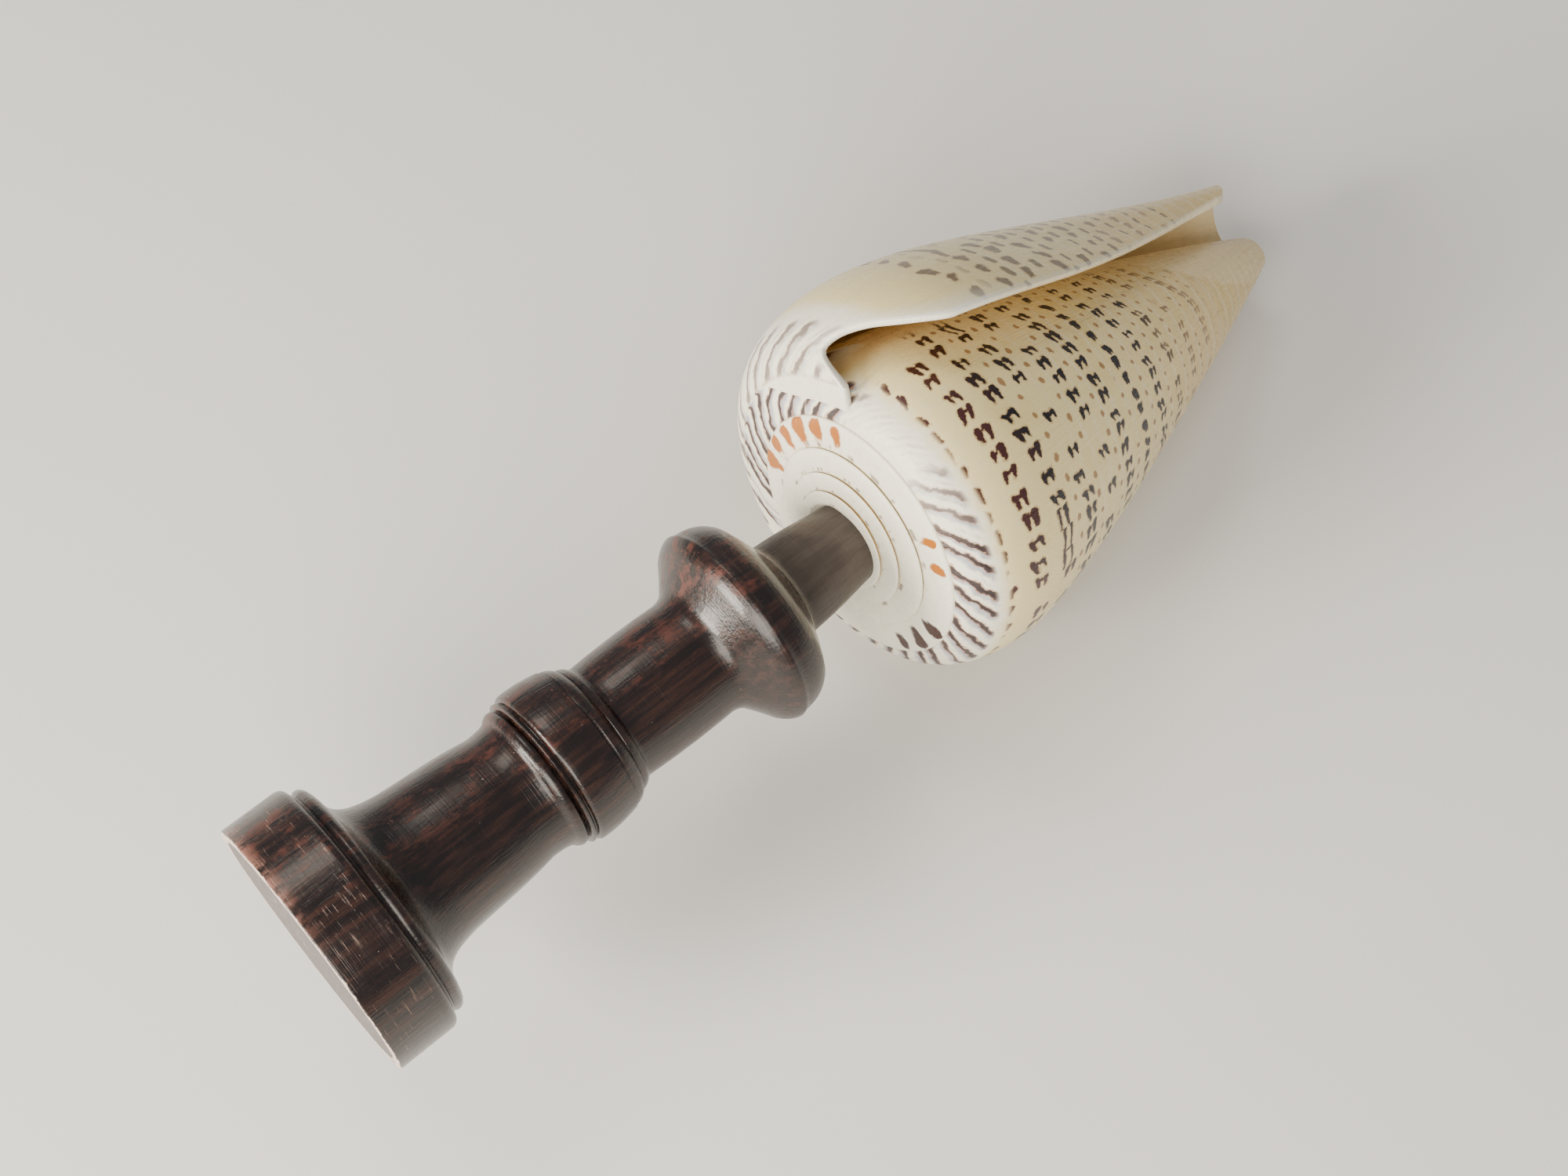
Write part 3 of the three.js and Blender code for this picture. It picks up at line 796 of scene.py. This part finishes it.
    # Further in: sets of brown and orange spots, then only fine dashes along the seams.
    spot_cell_place = (back + SPOT_SHIFT) / SPOT_PITCH
    spot_cell = spot_cell_place.floor()
    spot_q = (spot_cell_place - spot_cell - 0.5) * arc * SPOT_PITCH
    spot_chance = recipe.dice(spot_cell, 1.0, 31.0)
    spot_p = (share - 0.4 - spot_chance * 0.14) * girth * 0.3
    spot_middle = (spot_cell + 0.5) * SPOT_PITCH - SPOT_SHIFT
    brown_set = spot_middle.within(*BROWN_SPOTS, 1)
    orange_set = spot_middle.within(*ORANGE_SPOTS, 1).most(spot_middle.within(*INNER_ORANGE_SPOTS, 1))
    orange = length(spot_q * 0.95 + wobble * 2, spot_p * 0.7 + wobble_too * 2) - spot_chance * 0.8 - 0.85
    orange = orange.rise(0.3, -0.15) * brown_set.most(orange_set) * (1 - inner) * share.rise(1, 0.85)
    orange_colour = recipe.blend(settings.orange, BROWN_SPOT_COLOUR, brown_set)
    colour = recipe.blend(colour, orange_colour, orange)
    dash_noise = recipe.noise(recipe.vector(back * 0.09, share, 9.0), 1, 2, 0.5)
    seam_dash = share.within(0.02, 0.1, 0.03) * dash_noise.rise(0.54, 0.6) * back.rise(*DASHES_START)
    colour = recipe.blend(colour, DASH_COLOUR, seam_dash * (1 - inner) * 0.8)
    seam_line = share.within(-0.05, 0.015, 0.015) * (1 - inner) * (0.3 + mottle.rise(0.45, 0.6) * 0.7)
    colour = recipe.blend(colour, SEAM_COLOUR, seam_line * 0.5)

    # Inside of the mouth, the glaze beside it and the white edge of the lip.
    deep = recipe.blend(settings.mouth, settings.mouth_tip, reach.rise(6, 60))
    colour = recipe.blend(colour, deep, glaze * (1 - inner) * 0.85)
    colour = recipe.blend(colour, deep, inner)
    edge = lip.rise(1.1, 0.6) * (share.rise(1.3, 1) * 0.6 + 0.4)
    edge = edge.most(lip.rise(4, 1) * (1 - inner) * 0.5 * share.rise(1.3, 1))
    colour = recipe.blend(colour, settings.lip_edge, edge)

    gloss = mottle * 0.16 + growth * 0.12 + 0.14 + reach.rise(0, -8) * 0.1
    lines = recipe.noise(recipe.vector(back * 1.6, reach * 0.02, 1.0), 1, 3, 0.6)
    ridges = ((back + swing) * 1.6 + wobble * 6).sine() * share.rise(0.6, 0.3) * back.rise(372, 340)
    cords = (reach * 2.6 + wobble * 2).sine() * reach.rise(50, 80)
    ridges = ridges * mottle.rise(0.35, 0.65) * (1 + streak_here)
    height = lines * 0.5 + growth * 0.6 + ridges * 0.22 + cords * 0.12 + mottle * 0.25
    recipe.bump(height, 0.22)
    return recipe.finish(colour, gloss, coat_weight=0.15, coat_roughness=0.1)


def floor_material(colour):
    recipe = Recipe("pale matte floor")
    x, y, z = recipe.object_frame(Matrix.Identity(4))
    fine = recipe.noise(recipe.vector(x, y, z), 0.02, 3, 0.5)
    shade = tuple(channel * 0.97 for channel in colour[:3])
    recipe.bump(fine, 0.05)
    return recipe.finish(recipe.blend(colour, shade, fine), 0.75)


# Settings

def colour_property(name, description, default):
    return FloatVectorProperty(name=name, description=description, subtype="COLOR", size=3, min=0, max=1,
                               default=default)


class StandSettings(bpy.types.PropertyGroup):
    foot_radius: FloatProperty(name="Foot radius", description="Radius of the foot, in millimetres",
                               default=22.5, min=15, max=40)
    collar_radius: FloatProperty(name="Collar radius", description="Radius of the collar, in millimetres",
                                 default=18.1, min=12, max=30)
    sides: IntProperty(name="Sides", description="Steps round the turned outline", default=128, min=24,
                       max=256)
    wood: colour_property("Wood", "Dark body of the wood", (0.008, 0.0038, 0.0032))
    wood_grain: colour_property("Grain", "Lighter grain of the wood", (0.034, 0.013, 0.008))
    # Red-brown wear, painted only on the lit side of the stand, so partly painted light.
    wood_worn_and_lit: colour_property("Worn wood", "Red-brown where the finish is worn", (0.14, 0.035, 0.02))
    bare_wood: colour_property("Bare wood", "Chipped rim of the foot", (0.62, 0.48, 0.4))
    underside: colour_property("Underside", "Unpolished underside of the foot", (0.05, 0.03, 0.022))
    peg: colour_property("Peg", "Unpolished peg", (0.06, 0.043, 0.034))


class ShellSettings(bpy.types.PropertyGroup):
    lip_radius: FloatProperty(name="Lip radius", description="Radius of the shell at its lip, in millimetres",
                              default=38, min=20, max=60)
    wall: FloatProperty(name="Wall", description="Thickness of the wall, in millimetres", default=1.9,
                        min=0.5, max=4)
    white: colour_property("White", "Ground of the spire", (0.92, 0.88, 0.72))
    ivory: colour_property("Ivory", "Ground of the body", (0.9, 0.75, 0.37))
    tip: colour_property("Tip", "Ground towards the tip", (0.78, 0.57, 0.24))
    yellow: colour_property("Yellow", "Yellowish patches", (0.78, 0.6, 0.2))
    spot: colour_property("Spot", "Dark marks", (0.006, 0.004, 0.005))
    spot_warm: colour_property("Warm spot", "Marks near the shoulder", (0.055, 0.014, 0.012))
    spot_tip: colour_property("Tip spot", "Marks towards the tip", (0.075, 0.042, 0.018))
    spot_edge: colour_property("Spot edge", "Brown edge of the marks", (0.36, 0.14, 0.04))
    dot: colour_property("Dot", "Small dots between the rows", (0.26, 0.09, 0.018))
    streak: colour_property("Streak", "Dark streaks of the last whorl", (0.016, 0.009, 0.012))
    streak_shade: colour_property("Streak shade", "Grey shade beside a streak", (0.3, 0.33, 0.42))
    orange: colour_property("Orange", "Spots of the inner whorl", (0.42, 0.125, 0.003))
    mouth: colour_property("Mouth", "Inside of the mouth", (0.84, 0.6, 0.28))
    mouth_tip: colour_property("Mouth at the tip", "Inside of the mouth near the tip", (0.88, 0.7, 0.38))
    lip_edge: colour_property("Lip edge", "Edge of the lip", (0.9, 0.87, 0.75))


class StageSettings(bpy.types.PropertyGroup):
    floor: colour_property("Floor", "Colour of the floor", (0.72, 0.71, 0.69))
    key_power: FloatProperty(name="Key light", description="Power of the main light", default=20, min=0,
                             subtype="POWER", unit="POWER")
    fill_power: FloatProperty(name="Fill light", description="Power of the fill light", default=8, min=0,
                              subtype="POWER", unit="POWER")
    back_power: FloatProperty(name="Back light", description="Power of the light from the far side",
                              default=3, min=0, subtype="POWER", unit="POWER")
    lens: FloatProperty(name="Lens", description="Focal length of the camera", default=49.86, min=20, max=200,
                        unit="CAMERA")


# Operators

class SHELL_OT_add_stand(bpy.types.Operator):
    """Turn the stand from its outline, in one piece with its peg"""

    bl_idname = "shell.add_stand"
    bl_label = "Add stand"

    def execute(self, context):
        settings = context.scene.stand_settings
        outline = stand_outline(settings.foot_radius, settings.collar_radius)
        piece = turn_outline(outline, settings.sides)
        piece.data.transform(stand_matrix())
        piece.data.materials.append(wood_material(settings))
        finish_piece(piece, "turned_stand", "stand", STAND_SMOOTH)
        return {"FINISHED"}


class SHELL_OT_add_shell(bpy.types.Operator):
    """Grow the shell as a spiral sheet with a rounded lip"""

    bl_idname = "shell.add_shell"
    bl_label = "Add shell"

    def execute(self, context):
        settings = context.scene.shell_settings
        wall = settings.wall

        def lip_edge(gap):
            """How far the outer and inner surfaces lie in from the outline, by the distance from the lip."""
            near = min(gap / CURL_REACH, 1)
            curl = 1 - math.sqrt(1 - (1 - near) ** 2)
            return CURL_OUTER * curl, wall - (wall - EDGE_WALL) * curl

        face = [k / FACE_ROWS for k in range(FACE_ROWS + 1)]
        flank = [1 + (k + 1) / FLANK_ROWS for k in range(FLANK_ROWS)]
        spire_face = [k / SPIRE_ROWS for k in range(SPIRE_ROWS + 1)]
        body = np.concatenate([LIP_COLUMNS, FINE_COLUMNS, HIDDEN_COLUMNS])
        sheet = Sheet()
        sheet.add(body, SKIRT_SHARES + face + flank, lambda share: between(LIP_LINE, share),
                  settings.lip_radius, lip_edge)
        sheet.add(SPIRE_COLUMNS, SKIRT_SHARES + spire_face, lambda share: SPIRE_START,
                  settings.lip_radius, lambda gap: (0, SPIRE_WALL))
        piece = sheet.build("cone_shell", shell_matrix())
        piece.data.materials.append(shell_material(settings))
        finish_piece(piece, "cone_shell", "shell", SHELL_SMOOTH)
        return {"FINISHED"}


class SHELL_OT_set_stage(bpy.types.Operator):
    """Lay the floor, set the soft lights and place the camera"""

    bl_idname = "shell.set_stage"
    bl_label = "Set stage"

    def execute(self, context):
        settings = context.scene.stage_settings
        deselect_all()
        bpy.ops.mesh.primitive_plane_add(size=FLOOR_SIZE, location=(0, 0, 0))
        floor = context.active_object
        floor.name = "floor"
        floor.data.materials.append(floor_material(settings.floor))

        place = stand_matrix()
        turn = place.to_3x3()
        right = turn @ CAMERA_RIGHT
        down = turn @ CAMERA_DOWN
        forward = turn @ CAMERA_FORWARD
        camera = bpy.data.objects.new("camera", bpy.data.cameras.new("camera"))
        camera.data.sensor_width = SENSOR_WIDTH
        camera.data.lens = settings.lens
        camera.data.clip_start = CLIP_START
        basis = Matrix((right, -down, -forward)).transposed().to_4x4()
        camera.matrix_world = Matrix.Translation(place @ (CAMERA_AT * MM)) @ basis
        context.scene.collection.objects.link(camera)
        context.scene.camera = camera

        up = Vector((0, 0, 1))
        for name, (across, below, above), size, power in LIGHTS:
            light_place = LIT_CENTRE + right * across + up * above + down * below
            self.add_light(context, name, light_place, LIT_CENTRE, size, getattr(settings, power))
        world = bpy.data.worlds.new("studio")
        world.use_nodes = True
        background = world.node_tree.nodes["Background"]
        background.inputs["Color"].default_value = SKY_COLOUR
        background.inputs["Strength"].default_value = SKY_STRENGTH
        context.scene.world = world
        return {"FINISHED"}

    @staticmethod
    def add_light(context, name, place, target, size, power):
        data = bpy.data.lights.new(name, "AREA")
        data.shape = "RECTANGLE"
        data.size = size
        data.size_y = size
        data.energy = power
        data.color = LIGHT_COLOUR
        light = bpy.data.objects.new(name, data)
        light.location = place
        light.rotation_euler = (target - place).to_track_quat("-Z", "Y").to_euler()
        context.scene.collection.objects.link(light)


class SHELL_PT_panel(bpy.types.Panel):
    """Lists the pieces of the shell and its stand"""

    bl_idname = "SHELL_PT_panel"
    bl_label = "Cone shell on a stand"
    bl_space_type = "VIEW_3D"
    bl_region_type = "UI"
    bl_category = "Shell"

    def draw(self, context):
        layout = self.layout
        for operator, settings in (
            (SHELL_OT_add_stand, context.scene.stand_settings),
            (SHELL_OT_add_shell, context.scene.shell_settings),
            (SHELL_OT_set_stage, context.scene.stage_settings),
        ):
            box = layout.box()
            for name in settings.bl_rna.properties.keys():
                if name not in ("rna_type", "name"):
                    box.prop(settings, name)
            box.operator(operator.bl_idname)


CLASSES = (StandSettings, ShellSettings, StageSettings, SHELL_OT_add_stand, SHELL_OT_add_shell,
           SHELL_OT_set_stage, SHELL_PT_panel)


def register():
    for cls in CLASSES:
        bpy.utils.register_class(cls)
    bpy.types.Scene.stand_settings = PointerProperty(type=StandSettings)
    bpy.types.Scene.shell_settings = PointerProperty(type=ShellSettings)
    bpy.types.Scene.stage_settings = PointerProperty(type=StageSettings)


def unregister():
    del bpy.types.Scene.stage_settings
    del bpy.types.Scene.shell_settings
    del bpy.types.Scene.stand_settings
    for cls in reversed(CLASSES):
        bpy.utils.unregister_class(cls)


def main():
    register()
    bpy.ops.shell.add_stand()
    bpy.ops.shell.add_shell()
    bpy.ops.shell.set_stage()


if __name__ == "__main__":
    main()
